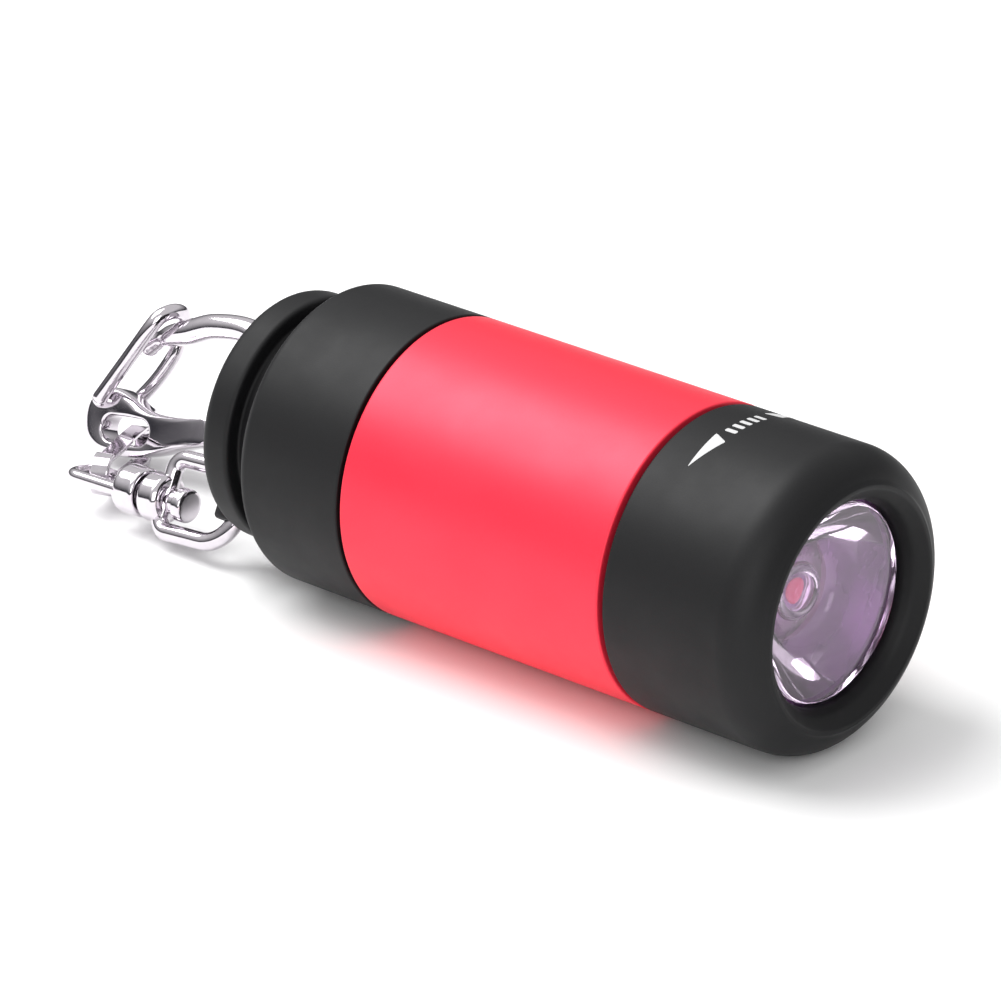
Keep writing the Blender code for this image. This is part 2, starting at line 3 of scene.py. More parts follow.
import bpy
import numpy as np
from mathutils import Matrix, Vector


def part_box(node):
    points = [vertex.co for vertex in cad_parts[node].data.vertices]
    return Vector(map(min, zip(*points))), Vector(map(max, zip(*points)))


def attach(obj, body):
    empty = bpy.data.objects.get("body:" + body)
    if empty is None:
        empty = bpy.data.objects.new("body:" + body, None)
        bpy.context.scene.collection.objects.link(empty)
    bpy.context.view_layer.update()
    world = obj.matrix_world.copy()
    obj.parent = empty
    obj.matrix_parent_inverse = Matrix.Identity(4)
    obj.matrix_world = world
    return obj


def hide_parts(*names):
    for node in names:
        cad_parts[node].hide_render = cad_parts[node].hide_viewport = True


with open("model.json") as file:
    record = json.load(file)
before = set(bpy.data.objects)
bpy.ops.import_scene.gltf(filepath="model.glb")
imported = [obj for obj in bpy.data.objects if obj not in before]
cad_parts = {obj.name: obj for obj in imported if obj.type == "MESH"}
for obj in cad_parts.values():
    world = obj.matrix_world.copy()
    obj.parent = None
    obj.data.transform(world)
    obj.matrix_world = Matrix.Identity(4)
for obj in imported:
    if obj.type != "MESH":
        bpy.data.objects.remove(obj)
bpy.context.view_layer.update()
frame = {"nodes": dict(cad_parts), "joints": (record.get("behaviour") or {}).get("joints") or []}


# ---------------------------------------------------------------- coloured sleeve
# A short aluminium tube that slides over the inner barrel and is trapped between the head and the tail cap.
# It is turned, blasted to an even satin and dyed coral red, so it has a fine tooth and no hard highlight.

MM = 0.001
SLEEVE_INSET = 0.15
sleeve_low, sleeve_high = (np.array(corner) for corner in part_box("body_sleeve"))
DATUM = np.array([sleeve_low[0] - SLEEVE_INSET * MM, *(sleeve_low + sleeve_high)[1:] / 2])
BODY_R = (sleeve_high - sleeve_low)[2] / 2 / MM
SLEEVE_LENGTH = 22.6
BARREL_R = 8.9
SLEEVE_BORE_R = BARREL_R + 0.3
SHARP_FOLD = np.radians(50)
TORCH = (DATUM, np.eye(3))


def placed(points, at):
    """Points in a frame's millimetres, moved to metres in the row frame. A frame is its origin and axes."""
    origin, axes = at
    return origin + points * MM @ axes


def skin(name, rings, finish, loop=False):
    """A closed surface through rings of points, each ring closed on itself. The rings join end to end as a
    loop, or the first and the last are each closed by a fan to their middle. Faces point outwards."""
    count, around = rings.shape[:2]
    ring, step = np.meshgrid(np.arange(count if loop else count - 1), np.arange(around), indexing="ij")
    near, far, after = ring * around, (ring + 1) % count * around, (step + 1) % around
    quads = np.stack([near + step, near + after, far + after, far + step], -1).reshape(-1, 4)
    points = rings.reshape(-1, 3)
    caps = np.empty((0, 3), int)
    if not loop:
        points = np.vstack([points, rings[0].mean(0), rings[-1].mean(0)])
        here, there = np.arange(around), (np.arange(around) + 1) % around
        front, back = np.full(around, len(points) - 2), np.full(around, len(points) - 1)
        last = (count - 1) * around
        front_fan = np.stack([there, here, front], -1)
        back_fan = np.stack([last + here, last + there, back], -1)
        caps = np.vstack([front_fan, back_fan])
    triangles = np.vstack([quads[:, :3], quads[:, [0, 2, 3]], caps])
    a, b, c = (points[triangles[:, k]] - points.mean(0) for k in range(3))
    if (a * np.cross(b, c)).sum() < 0:
        quads, caps = quads[:, ::-1], caps[:, ::-1]
    mesh = bpy.data.meshes.new(name)
    mesh.from_pydata(points.tolist(), [], quads.tolist() + caps.tolist())
    mesh.shade_smooth()
    mesh.set_sharp_from_angle(angle=SHARP_FOLD)
    mesh.materials.append(finish)
    made = bpy.data.objects.new(name, mesh)
    bpy.context.scene.collection.objects.link(made)
    return made


def eased(corners, radius, loop=True, steps=6):
    """A polygon with its corners rounded: each is a parabola that leaves one side and meets the next at the
    radius from the corner, or less where a side is short. One more point on each side keeps it flat."""
    corners = np.array(corners, float)
    before, after = np.roll(corners, 1, 0) - corners, np.roll(corners, -1, 0) - corners
    sides = [np.linalg.norm(side, axis=1, keepdims=True) for side in (before, after)]
    reach = np.minimum(np.broadcast_to(radius, len(corners))[:, None], 0.35 * np.minimum(*sides))
    leave, meet = (before / sides[0] * reach)[:, None], (after / sides[1] * reach)[:, None]
    t = np.linspace(0, 1, steps + 1)[None, :, None]
    bend = corners[:, None] + leave * (1 - t) ** 2 + meet * t ** 2
    bend = np.concatenate([corners[:, None] + 1.3 * leave, bend, corners[:, None] + 1.3 * meet], 1)
    if loop:
        return bend.reshape(-1, corners.shape[1])
    return np.vstack([corners[:1], bend[1:-1].reshape(-1, corners.shape[1]), corners[-1:]])


def turned(name, profile, finish, at=TORCH, loop=True, around=144):
    """A profile of (x, radius) in millimetres carried round the X axis of a frame."""
    angle = np.linspace(0, 2 * np.pi, around, endpoint=False)
    x, radius = np.array(profile).T[:, :, None]
    rings = np.stack([x + 0 * angle, radius * np.cos(angle), radius * np.sin(angle)], -1)
    return skin(name, placed(rings, at), finish, loop)


def arc(center, radius, start, end, steps=12):
    """Points on a circle, from one angle to another in degrees."""
    angle = np.radians(np.linspace(start, end, steps + 1))
    return np.array(center) + radius * np.stack([np.cos(angle), np.sin(angle)], -1)


def fit(made, body, slot, *nodes):
    """Puts a piece on its body and hides the plain solids that it stands for. The slot is not used."""
    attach(made, body)
    if nodes:
        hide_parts(*nodes)
    return made


def effect(name, sockets, outputs):
    """An empty shader group with named number inputs and outputs, and its two end nodes."""
    group = bpy.data.node_groups.new(name, "ShaderNodeTree")
    group.interface.new_socket("Vector", in_out="INPUT", socket_type="NodeSocketVector")
    for label in sockets:
        group.interface.new_socket(label, in_out="INPUT", socket_type="NodeSocketFloat")
    for label, kind in outputs:
        group.interface.new_socket(label, in_out="OUTPUT", socket_type=kind)
    return group, group.nodes.new("NodeGroupInput"), group.nodes.new("NodeGroupOutput")


def grain_effect():
    """Fine tooth: noise of a given size gives a tone from 0 to 1 and, as a height, the normal."""
    outputs = [("Tone", "NodeSocketFloat"), ("Normal", "NodeSocketVector")]
    group, given, result = effect("grain", ["Scale", "Depth"], outputs)
    noise = group.nodes.new("ShaderNodeTexNoise")
    noise.inputs["Detail"].default_value = 3
    bump = group.nodes.new("ShaderNodeBump")
    bump.inputs["Distance"].default_value = 0.02 * MM
    link = group.links.new
    link(given.outputs["Vector"], noise.inputs["Vector"])
    link(given.outputs["Scale"], noise.inputs["Scale"])
    link(given.outputs["Depth"], bump.inputs["Strength"])
    link(noise.outputs["Fac"], bump.inputs["Height"])
    link(noise.outputs["Fac"], result.inputs["Tone"])
    link(bump.outputs["Normal"], result.inputs["Normal"])
    return group


def handling_effect():
    """Where fingers have been: broad soft patches, from 0 on a clean face to 1 on a rubbed one."""
    group, given, result = effect("handling", ["Scale"], [("Mask", "NodeSocketFloat")])
    noise = group.nodes.new("ShaderNodeTexNoise")
    noise.inputs["Detail"].default_value = 5
    noise.inputs["Roughness"].default_value = 0.6
    spread = group.nodes.new("ShaderNodeMapRange")
    spread.inputs["From Min"].default_value = 0.35
    spread.inputs["From Max"].default_value = 0.68
    link = group.links.new
    link(given.outputs["Vector"], noise.inputs["Vector"])
    link(given.outputs["Scale"], noise.inputs["Scale"])
    link(noise.outputs["Fac"], spread.inputs["Value"])
    link(spread.outputs["Result"], result.inputs["Mask"])
    return group


GRAIN, HANDLING = grain_effect(), handling_effect()


def finish(name, light, dark, rough, grain=6000, depth=0.3, stretch=(1, 1, 1), patches=150, **sockets):
    """A solid's finish: its colour moves between two tones with the grain, its roughness between two
    values where it has been handled, and the grain roughens its normal. Stretch draws the grain out."""
    made = bpy.data.materials.new(name)
    made.use_nodes = True
    tree, shader = made.node_tree, made.node_tree.nodes["Principled BSDF"]
    for socket, value in sockets.items():
        shader.inputs[socket.replace("_", " ")].default_value = value
    place, center = tree.nodes.new("ShaderNodeTexCoord"), tree.nodes.new("ShaderNodeMapping")
    center.inputs["Location"].default_value = [-k * s for k, s in zip(DATUM, stretch)]
    center.inputs["Scale"].default_value = stretch
    tooth, rubbed = tree.nodes.new("ShaderNodeGroup"), tree.nodes.new("ShaderNodeGroup")
    tooth.node_tree, rubbed.node_tree = GRAIN, HANDLING
    tooth.inputs["Scale"].default_value = grain
    tooth.inputs["Depth"].default_value = depth
    rubbed.inputs["Scale"].default_value = patches
    tones, wear = tree.nodes.new("ShaderNodeMix"), tree.nodes.new("ShaderNodeMapRange")
    tones.data_type = "RGBA"
    tones.inputs[6].default_value, tones.inputs[7].default_value = (*dark, 1), (*light, 1)
    wear.inputs["To Min"].default_value, wear.inputs["To Max"].default_value = rough
    link = tree.links.new
    link(place.outputs["Object"], center.inputs["Vector"])
    link(center.outputs["Vector"], tooth.inputs["Vector"])
    link(place.outputs["Object"], rubbed.inputs["Vector"])
    link(tooth.outputs["Tone"], tones.inputs["Factor"])
    link(tones.outputs[2], shader.inputs["Base Color"])
    link(rubbed.outputs["Mask"], wear.inputs["Value"])
    link(wear.outputs["Result"], shader.inputs["Roughness"])
    link(tooth.outputs["Normal"], shader.inputs["Normal"])
    return made


coral_anodise = finish(
    "coral_anodise", (0.95, 0.032, 0.07), (0.86, 0.022, 0.05), (0.42, 0.5), grain=9000, depth=0.16,
    Metallic=0.35,
)
sleeve_profile = eased(
    [
        (SLEEVE_LENGTH - SLEEVE_INSET, SLEEVE_BORE_R),
        (SLEEVE_LENGTH - SLEEVE_INSET, BODY_R),
        (SLEEVE_INSET, BODY_R),
        (SLEEVE_INSET, SLEEVE_BORE_R),
    ],
    0.18,
)
fit(turned("sleeve_tube", sleeve_profile, coral_anodise), "torch_body", "red_satin", "body_sleeve")


# ---------------------------------------------------------------- inner barrel, seals and USB plug
# A black glass-filled nylon barrel that carries everything; the cap and the head push on over its O-rings.
# Its floor holds a standard USB-A plug: a folded steel shell round a white tongue with four gilt contacts.

hard_black = finish(
    "hard_black", (0.022, 0.022, 0.024), (0.014, 0.014, 0.015), (0.38, 0.5), grain=5000, depth=0.3
)
seal_rubber = finish(
    "seal_rubber", (0.02, 0.02, 0.02), (0.012, 0.012, 0.012), (0.5, 0.65), grain=7000, depth=0.2
)
drawn_steel = finish(
    "drawn_steel", (0.7, 0.7, 0.71), (0.6, 0.6, 0.62), (0.2, 0.32), grain=2500, depth=0.12,
    stretch=(0.05, 1, 1), Metallic=1,
)
gilt = finish("gilt", (0.92, 0.68, 0.3), (0.8, 0.56, 0.22), (0.18, 0.3), grain=5000, depth=0.08, Metallic=1)
white_nylon = finish(
    "white_nylon", (0.84, 0.83, 0.8), (0.78, 0.77, 0.74), (0.35, 0.5), grain=4000, depth=0.15
)
SEAL_R, SEAL_WIRE_R = 8.72, 0.32


def seal_ring(name, x, middle, wire_r, body, node):
    """An O-ring: a circle carried round the torch's axis."""
    made = turned(name, arc((x, middle), wire_r, 0, 345, 23), seal_rubber, around=120)
    fit(made, body, "seal_rubber", node)


seal_ring("rear_o_ring", -1.1, SEAL_R, SEAL_WIRE_R, "torch_body", "rear_seal")
seal_ring("front_o_ring", 26.6, SEAL_R, SEAL_WIRE_R, "torch_body", "front_seal")
seal_ring("lens_gasket", 32.6, 7.45, 0.3, "head", "lens_seal")


def dress(material, *nodes):
    """Gives kept solids their finish."""
    for name in nodes:
        frame["nodes"][name].material_slots[0].material = material


dress(hard_black, "inner_barrel", "charge_chip")
dress(drawn_steel, "usb_shell")
dress(white_nylon, "usb_tongue")
dress(gilt, *(f"usb_contact_{number}" for number in (1, 2, 3, 4)))


# ---------------------------------------------------------------- charging board, cells and contacts
# A round green board behind the plug carries the charger chip and a red charge lamp. Three nickel-plated
# button cells stand in a row from a gilt spring to a white contact disc with a gilt post.

solder_mask = finish(
    "solder_mask", (0.02, 0.2, 0.08), (0.012, 0.14, 0.05), (0.25, 0.4), grain=1500, depth=0.1
)
red_lamp = finish(
    "red_lamp", (0.75, 0.03, 0.03), (0.6, 0.02, 0.02), (0.12, 0.2), depth=0.02, Coat_Weight=0.6
)
cell_plate = finish(
    "cell_plate", (0.74, 0.73, 0.7), (0.66, 0.65, 0.62), (0.16, 0.3), grain=3000, depth=0.06, Metallic=1
)
dress(solder_mask, "charge_board")
dress(red_lamp, "charge_led")
dress(cell_plate, *(f"button_cell_{number}" for number in (1, 2, 3)))
dress(gilt, "cell_spring", "contact_post")
dress(white_nylon, "contact_disc")


# ---------------------------------------------------------------- lamp, optic and its holder
# The lamp sits on a white board under one clear moulded acrylic optic: a flat face, a flange for the head's
# lip, and a curved cone with a cavity over the lamp. The plastic has a mauve cast. The lamp is painted red
# with a faint painted glow, which stands in for red light reflected into the optic.

LENS_FACE, LENS_R = 33.35, 6.75
FLANGE_FRONT, FLANGE_BACK, FLANGE_R = 32.2, 31.3, 8.2
CONE_BACK, CONE_LENGTH, CONE_R, CONE_SPREAD = 26.75, 4.4, 3.0, 3.8
CAVITY_R, CAVITY_TOP = 2.0, 28.9
LAMP_BASE, LAMP_TOP, LAMP_R = 25.75, 27.75, 1.55


def clear_plastic():
    """Tinted clear acrylic with the faint flow marks of its moulding in its gloss."""
    return finish(
        "clear_acrylic", (0.92, 0.76, 0.95), (0.88, 0.7, 0.92), (0.02, 0.05), grain=300, depth=0.03,
        patches=250, Transmission_Weight=0.94, IOR=1.49, Coat_Weight=0.3,
    )


def optic_profile():
    """Half section of the optic. The cone's radius grows as the 0.6 power of the distance from its back."""
    rise = np.linspace(0.97, 0.05, 14)
    cone = np.stack([FLANGE_BACK - CONE_LENGTH * (1 - rise), CONE_R + CONE_SPREAD * rise ** 0.6], -1)
    face = eased([(LENS_FACE, 0.3), (LENS_FACE, LENS_R), (FLANGE_FRONT, LENS_R)], 0.22, loop=False)
    flange = [(FLANGE_FRONT, FLANGE_R), (FLANGE_BACK, FLANGE_R)]
    dome = np.radians(np.linspace(0, 86, 9))
    depth = (CAVITY_TOP - CONE_BACK) * np.sin(dome)
    cavity = np.stack([CONE_BACK + depth, CAVITY_R * np.cos(dome) ** 0.6], -1)
    return np.vstack([face, flange, cone, [(CONE_BACK, CONE_R - 0.1)], cavity])


mauve_white = finish(
    "mauve_white", (0.6, 0.4, 0.64), (0.5, 0.3, 0.55), (0.2, 0.35), grain=800, depth=0.1, Metallic=0.4
)
# Painted glow: the unlit lamp's red colour and weak emission stand in for red light reflected in the optic.
lamp_red_painted_glow = finish(
    "lamp_red_painted_glow", (0.95, 0.08, 0.2), (0.8, 0.05, 0.14), (0.15, 0.25), grain=3000, depth=0.05, Coat_Weight=0.5,
    Emission_Color=(1, 0.12, 0.28, 1), Emission_Strength=0.35,
)
optic = turned("optic_body", optic_profile(), clear_plastic(), loop=False, around=160)
fit(optic, "lamp_module", "clear_optic", "lens_optic")
dress(mauve_white, "optic_holder", "led_board")
lamp_dome = arc((LAMP_TOP - LAMP_R, 0), LAMP_R, 8, 90, 16)
lamp_profile = np.vstack([lamp_dome, [(LAMP_BASE + 0.1, LAMP_R), (LAMP_BASE + 0.1, 0.3)]])
lamp = turned("lamp_dome", lamp_profile, lamp_red_painted_glow, loop=False, around=96)
fit(lamp, "lamp_module", "phosphor", "led_package")


# ---------------------------------------------------------------- twist head
# A turned and rubber-coated shell that screws on the barrel: a big round nose, a narrow land at its tip and
# a wide dish down to the lens. Its soft coating is matte black with a very fine tooth.

HEAD_BACK, HEAD_END, NOSE_ROUND = 22.85, 35.0, 2.9
LAND_R, LAND_HALF = 8.2, 0.15
SPIGOT_END = 29.0
THREAD_BORE, LENS_BORE = 9.15, 8.5
LIP_BACK, LIP_FACE, LIP_R = 33.0, 33.6, 6.95
PRINT_PROUD = 0.02
HEAD_R = BODY_R - PRINT_PROUD
soft_black = finish(
    "soft_black", (0.006, 0.006, 0.007), (0.003, 0.003, 0.0035), (0.5, 0.6), grain=9000, depth=0.22,
    Specular_IOR_Level=0.28,
)


def head_profile():
    """Half section of the head: the nose is most of a quarter circle between the side and the land."""
    nose = arc((HEAD_END - NOSE_ROUND, HEAD_R - NOSE_ROUND), NOSE_ROUND, 20, 90, 20)
    dish = [(LIP_BACK, LENS_BORE), (LIP_BACK, LIP_R), (LIP_FACE, LIP_R), (LIP_FACE + 0.7, LIP_R + 0.3)]
    dish += [(HEAD_END, LAND_R - LAND_HALF), (HEAD_END, LAND_R + LAND_HALF), tuple(nose[0])]
    dish = eased(dish, 0.25, loop=False)
    back = [nose[-1], (HEAD_BACK, HEAD_R), (HEAD_BACK, THREAD_BORE), (SPIGOT_END, THREAD_BORE)]
    return np.vstack([dish, nose[1:], eased(back, 0.18, loop=False)[1:], [(SPIGOT_END, LENS_BORE)]])


fit(turned("head_shell_skin", head_profile(), soft_black, around=192), "head", "soft_black", "head_shell")


# ---------------------------------------------------------------- printed marks on the head
# Pad-printed pale grey marks near the head's rear edge show which way it turns: a long wedge towards each
# side and plain marks between them. The ink lies a hair proud of the rubber.

pale_ink = finish("pale_ink", (0.66, 0.66, 0.66), (0.52, 0.52, 0.53), (0.45, 0.6), grain=5000, depth=0.3)


def spaced(path, count, loop=True):
    """The same path with this many points at even distances along it."""
    whole = np.vstack([path, path[:1]]) if loop else path
    run = np.concatenate([[0], np.cumsum(np.linalg.norm(np.diff(whole, axis=0), axis=1))])
    at = np.linspace(0, run[-1], count, endpoint=not loop)
    return np.stack([np.interp(at, run, axis) for axis in whole.T], -1)


def printed(name, corners, rounding):
    """A patch of ink: the outline, in (x, degrees from the top towards -Y), shrinks to its middle on the
    head's cylinder, first just above the rubber and then back just below it."""
    outline = np.array(corners, float) * [1, np.radians(HEAD_R)]
    outline = spaced(eased(outline, rounding), 72)
    share = np.concatenate([np.linspace(0.04, 1, 9), np.linspace(1, 0.04, 9)])[:, None, None]
    radius = np.repeat([HEAD_R + 0.6 * PRINT_PROUD, HEAD_R - 0.6 * PRINT_PROUD], 9)[:, None]
    middle = outline.mean(0)
    x, run = np.moveaxis(middle + share * (outline - middle), -1, 0)
    rings = np.stack([x, -radius * np.sin(run / HEAD_R), radius * np.cos(run / HEAD_R)], -1)
    fit(skin(name, placed(rings, TORCH), pale_ink), "head", "white_plastic")


printed("near_wedge", [(25.55, 30.3), (25.3, 11.4), (26.45, 14.2)], 0.12)
printed("far_wedge", [(25.55, -34), (25.3, -15.1), (26.45, -17.9)], 0.12)
MARK_REAR, MARK_FRONT, MARK_ANGLES = 25.5, 26.4, (7.5, 3.5, -0.5, -4.5, -8.5)
for number, angle in enumerate(MARK_ANGLES, 1):
    low, high = angle - 1, angle + 1
    corners = [(MARK_REAR, low), (MARK_REAR, high), (MARK_FRONT, high), (MARK_FRONT, low)]
    printed(f"mark_{number}", corners, 0.15)


# ---------------------------------------------------------------- tail cap and its cup
# The same soft black rubber over a hard core, pulled straight off to free the plug. A sleeve meets the
# coloured tube; a cup over the plug shows as a deep groove behind it and ends in a round-edged disc.

CAP_LENGTH, CAP_STEP, CUP_R, CUP_BORE_R, CUP_MOUTH = 9.3, -2.3, 7.6, 6.75, -2.5
DISC_R, DISC_FRONT, DISC_BACK = 8.75, -11.7, -14.2
cap_profile = eased(
    [
        (CAP_STEP, SLEEVE_BORE_R),
        (-SLEEVE_INSET, SLEEVE_BORE_R),
        (-SLEEVE_INSET, BODY_R),
        (0.6 - CAP_LENGTH, BODY_R),
        (-CAP_LENGTH, BODY_R - 0.62),
        (-CAP_LENGTH, CUP_R + 0.3),
        (CAP_STEP, CUP_R + 0.3),
    ],
    [0.15, 0.15, 0.15, 0.5, 0.35, 0.2, 0.15],
)
fit(turned("cap_tube", cap_profile, soft_black, around=192), "tail_cap", "soft_black", "cap_sleeve")
cup_profile = eased(
    [
        (DISC_BACK + 0.7, 0.4),
        (DISC_BACK + 0.7, CUP_BORE_R),
        (CUP_MOUTH, CUP_BORE_R),
        (CUP_MOUTH, CUP_R),
        (DISC_FRONT, CUP_R),
        (DISC_FRONT, DISC_R),
        (DISC_BACK, DISC_R),
        (DISC_BACK, 0.4),
    ],
    [0, 0.3, 0.2, 0.2, 0.25, 1.1, 1.1, 0],
    loop=False,
    steps=10,
)
tail_cup = turned("tail_cup", cup_profile, soft_black, loop=False, around=160)
fit(tail_cup, "tail_cap", "soft_black", "tail_plug")


# ---------------------------------------------------------------- lug
# A tab moulded with the disc, near its rim, with a hole that runs towards the torch's axis for the bail.

LUG_HALF, LUG_HOLE_R, LUG_THICK, LUG_ROOT = 1.6, 0.9, 1.7, 1.6
LUG_MOUTH, LUG_RIM, TINY = 0.2, 0.3, 1e-6
CHAIN_PITCH = np.radians(5)
joints = {joint["name"]: joint for joint in frame["joints"]}


def unit(vector):
    return np.array(vector, float) / np.linalg.norm(vector)


def pivot(name):
    return np.array(joints[name]["pos_m"])


bail_up = unit(joints["bail_swing"]["axis"])
bail_along = np.array([np.cos(CHAIN_PITCH), 0, np.sin(CHAIN_PITCH)])
BAIL = (pivot("bail_swing"), np.stack([bail_along, np.cross(bail_up, bail_along), bail_up]))


def holed_plate(inner, outer, half, mouth, rim, steps=6):
    """Rings of a plate with a hole, in (a, b, height). Inner and outer outlines match point by point. The
    section leaves the hole's wall round a quarter circle of the mouth's radius, crosses the face, goes round
    the rim in the same way, and comes back underneath."""
    quarter = np.radians(np.linspace(0, 90, steps))
    away = outer - inner
    out = away / np.linalg.norm(away, axis=1, keepdims=True)
    hole = np.stack([0 * quarter, mouth * (1 - np.cos(quarter)), half - mouth + mouth * np.sin(quarter)], -1)
    edge = np.stack([1 + 0 * quarter, -rim * (1 - np.cos(quarter)), half - rim + rim * np.sin(quarter)], -1)
    top = np.vstack([hole, [(0.5, 0, half)], edge[::-1]])
    share, shift, height = np.vstack([top, top[::-1] * [1, 1, -1]]).T[:, :, None]
    flat = inner + share[:, :, None] * away + shift[:, :, None] * out
    return np.concatenate([flat, np.broadcast_to(height, flat.shape[:2])[:, :, None]], -1)


around_hole = np.linspace(0, 2 * np.pi, 96, endpoint=False)
heading = np.stack([np.cos(around_hole), np.sin(around_hole)], -1)
to_root = LUG_ROOT / np.maximum(heading[:, 0], TINY)
to_side = LUG_HALF / np.maximum(abs(heading[:, 1]), TINY)
square_end = np.minimum(to_root, to_side)
tab_reach = np.where(heading[:, 0] < 0, LUG_HALF, square_end)[:, None]
lug_rings = holed_plate(LUG_HOLE_R * heading, tab_reach * heading, LUG_THICK / 2, LUG_MOUTH, LUG_RIM)
fit(skin("lug_tab", placed(lug_rings, BAIL), soft_black, loop=True), "tail_cap", "soft_black")


# ---------------------------------------------------------------- bail and its hub
# A die-cast ring in the shape of a D, nickel plated and polished, whose round end passes through the lug.
# The flat end swells into a hub that the swivel's stud turns in.

BAIL_HALF, BAIL_REACH, BAIL_WIRE_R, BAIL_CORNER = 2.6, 6.8, 0.65, 1.0
HUB_HALF, HUB_R, HUB_BORE, HUB_SLOPE = 0.95, 1.75, 0.8, (0.3, 0.25)
nickel = finish(
    "polished_nickel", (0.74, 0.7, 0.74), (0.62, 0.58, 0.63), (0.05, 0.16), grain=1800, depth=0.05,
    patches=400, Metallic=1,
)


def tube(path, radius, facing, loop=False, around=24):
    """Rings of a round wire: at each point of the path a circle square to it, counted from one direction
    that the path never follows. The radius is one number or one for each point."""
    step = np.roll(path, -1, 0) - np.roll(path, 1, 0)
    if not loop:
        step[0], step[-1] = path[1] - path[0], path[-1] - path[-2]
    side = np.cross(step, facing)
    side /= np.linalg.norm(side, axis=1, keepdims=True)
    up = np.cross(side, step)
    up /= np.linalg.norm(up, axis=1, keepdims=True)
    angle = np.linspace(0, 2 * np.pi, around, endpoint=False)[None, :, None]
    radius = np.broadcast_to(radius, len(path))[:, None, None]
    return path[:, None] + radius * (side[:, None] * np.cos(angle) + up[:, None] * np.sin(angle))


bail_flat = np.vstack([
    arc((-BAIL_HALF, 0), BAIL_HALF, -90, 90, 40),
    arc((BAIL_CORNER - BAIL_REACH, BAIL_HALF - BAIL_CORNER), BAIL_CORNER, 90, 180, 12),
    arc((BAIL_CORNER - BAIL_REACH, BAIL_CORNER - BAIL_HALF), BAIL_CORNER, 180, 270, 12),
])
bail_path = np.insert(spaced(bail_flat, 150), 1, 0, axis=1)
bail_rings = placed(tube(bail_path, BAIL_WIRE_R, (0, 1, 0), loop=True), BAIL)
fit(skin("bail_ring", bail_rings, nickel, loop=True), "bail", "nickel", "bail")
HUB = (pivot("swivel_turn"), BAIL[1])
hub_shoulder, hub_edge = HUB_HALF - HUB_SLOPE[0], HUB_R - HUB_SLOPE[1]
hub_corners = [(HUB_HALF, HUB_BORE), (HUB_HALF, hub_edge), (hub_shoulder, HUB_R)]
hub_corners += [(-hub_shoulder, HUB_R), (-HUB_HALF, hub_edge), (-HUB_HALF, HUB_BORE)]
fit(turned("bail_hub", eased(hub_corners, 0.3), nickel, HUB, around=72), "bail", "nickel")


# ---------------------------------------------------------------- swivel: stud, boss and wire eye
# A peened stud holds the swivel in the hub and lets it turn right round. Its boss grips the two ends of a
# wire bent into a long eye.

SWIVEL_ROLL = np.radians(-12)
STUD_HEAD, STUD_NECK, STUD_FLANGE = 2.85, 2.0, 1.25
STUD_HEAD_R, STUD_NECK_R, STUD_R = 1.2, 0.9, 0.6
BOSS_FRONT, BOSS_BACK, BOSS_R, BOSS_BORE = -1.25, -3.35, 1.75, 0.8
EYE_HALF, EYE_END, EYE_WIRE_R, EYE_CORNER = 1.25, -7.85, 0.5, 0.9
swivel_along = unit(joints["swivel_turn"]["axis"])
swivel_up = unit(np.cross(swivel_along, [0, np.cos(SWIVEL_ROLL), np.sin(SWIVEL_ROLL)]))
SWIVEL = (pivot("swivel_turn"), np.stack([swivel_along, np.cross(swivel_up, swivel_along), swivel_up]))
stud_corners = [(STUD_HEAD, 0.25), (STUD_HEAD, STUD_HEAD_R), (STUD_NECK, STUD_HEAD_R)]
stud_corners += [(STUD_NECK, STUD_NECK_R), (STUD_FLANGE, STUD_NECK_R), (STUD_FLANGE, STUD_R)]
stud_corners += [(BOSS_FRONT - 1.2, STUD_R), (BOSS_FRONT - 1.2, 0.25)]
stud_profile = eased(stud_corners, [0, 0.35, 0.3, 0.1, 0.1, 0.05, 0.05, 0], loop=False)
fit(turned("stud", stud_profile, nickel, SWIVEL, loop=False, around=72), "swivel", "nickel", "swivel_stud")
boss_corners = [(BOSS_FRONT - 1.3, 0.3), (BOSS_FRONT - 1.3, BOSS_BORE), (BOSS_FRONT, BOSS_BORE)]
boss_corners += [(BOSS_FRONT, BOSS_R), (BOSS_BACK, BOSS_R), (BOSS_BACK, 0.3)]
boss_profile = eased(boss_corners, [0, 0.1, 0.1, 0.35, 0.5, 0], loop=False)
boss = turned("swivel_boss", boss_profile, nickel, SWIVEL, loop=False, around=72)
fit(boss, "swivel", "nickel", "swivel_loop")
eye_side, eye_root = EYE_HALF - EYE_CORNER, BOSS_BACK + 0.4
eye_flat = np.vstack([
    [(eye_root, -EYE_HALF)],
    arc((EYE_END + EYE_CORNER, -eye_side), EYE_CORNER, 270, 180, 12),
    arc((EYE_END + EYE_CORNER, eye_side), EYE_CORNER, 180, 90, 12),
    [(eye_root, EYE_HALF)],
])
eye_path = np.insert(spaced(eye_flat, 90, loop=False), 2, 0, axis=1)
fit(skin("swivel_eye", placed(tube(eye_path, EYE_WIRE_R, (0, 0, 1)), SWIVEL), nickel), "swivel", "nickel")


# ---------------------------------------------------------------- link
# A long split ring of flat nickel-plated spring strip, wound nearly twice. The inner turn steps out to the
# outer one in the middle of a long side, where the two ends stop short of the step.

LINK_GAP, LINK_WIDTH, STRIP, STRIP_PITCH = 1.0, 1.3, 0.26, 0.28
STRIP_START, STRIP_END, STEP_START, STEP_SPAN = 0.16, 1.84, 0.88, 0.24
link_start, link_end = pivot("link_swing"), pivot("hook_tilt")
link_along = unit(link_end - link_start)
link_up = unit(np.array([0, 0, 1]) - link_along * link_along[2])
LINK = (link_start, np.stack([link_along, np.cross(link_up, link_along), link_up]))
LINK_LENGTH = np.linalg.norm(link_end - link_start) / MM + 0.7


